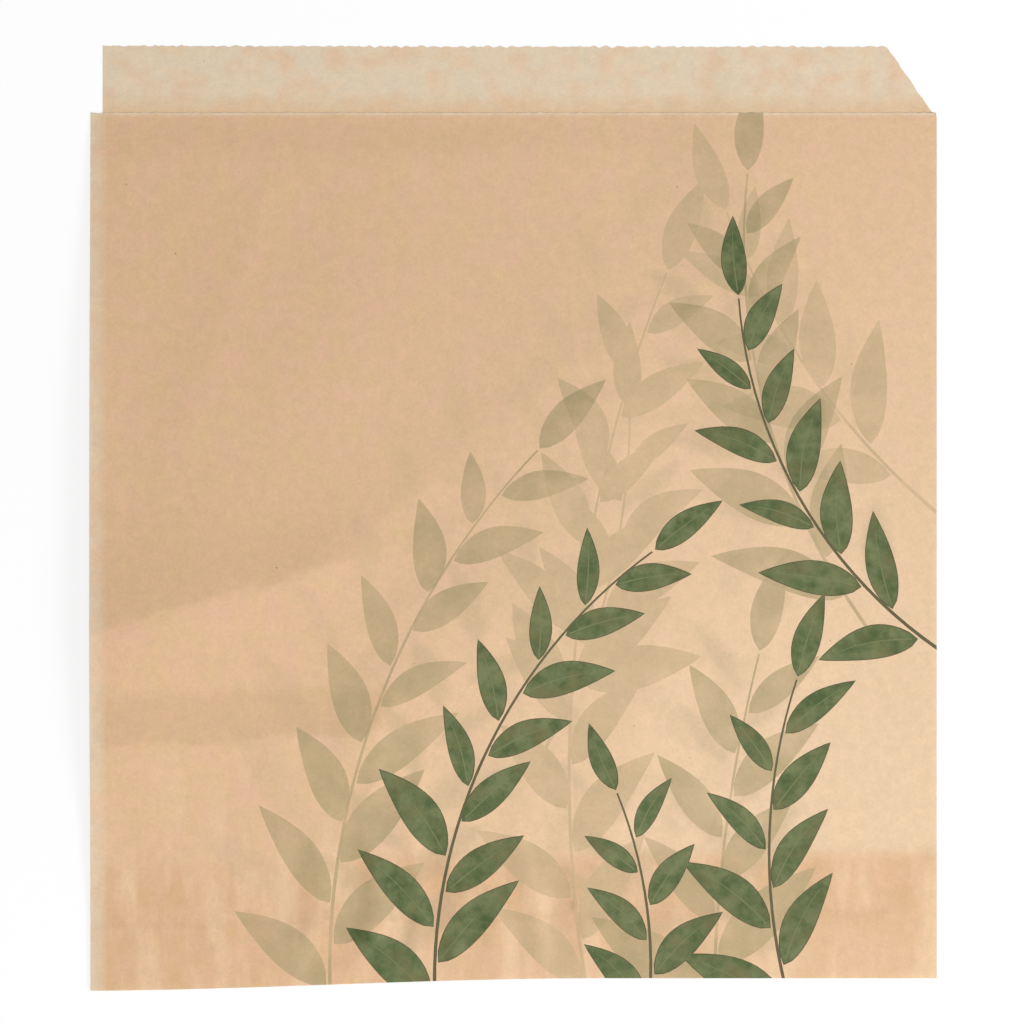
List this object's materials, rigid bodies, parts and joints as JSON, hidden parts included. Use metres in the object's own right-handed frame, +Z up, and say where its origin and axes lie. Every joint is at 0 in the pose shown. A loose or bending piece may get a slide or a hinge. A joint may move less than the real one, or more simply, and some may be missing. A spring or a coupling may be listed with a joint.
{
  "type": "paper snack bag",
  "caption": "Flat greaseproof paper snack bag, folded along one side and the bottom, open along the top and the other side, with a taller back panel as a lip.",
  "frame": {"origin": "on the table below the middle of the bag's bounding box", "axes": "+X towards the folded side, +Y towards the lip at the open top, +Z up from the table, out of the printed front panel"},
  "size_m": [0.16, 0.1788, 0.0071],
  "materials": {
    "paper": "matt greaseproof kraft paper"
  },
  "bodies": {
    "root": {"paper_bag": "paper"}
  },
  "joints": []
}
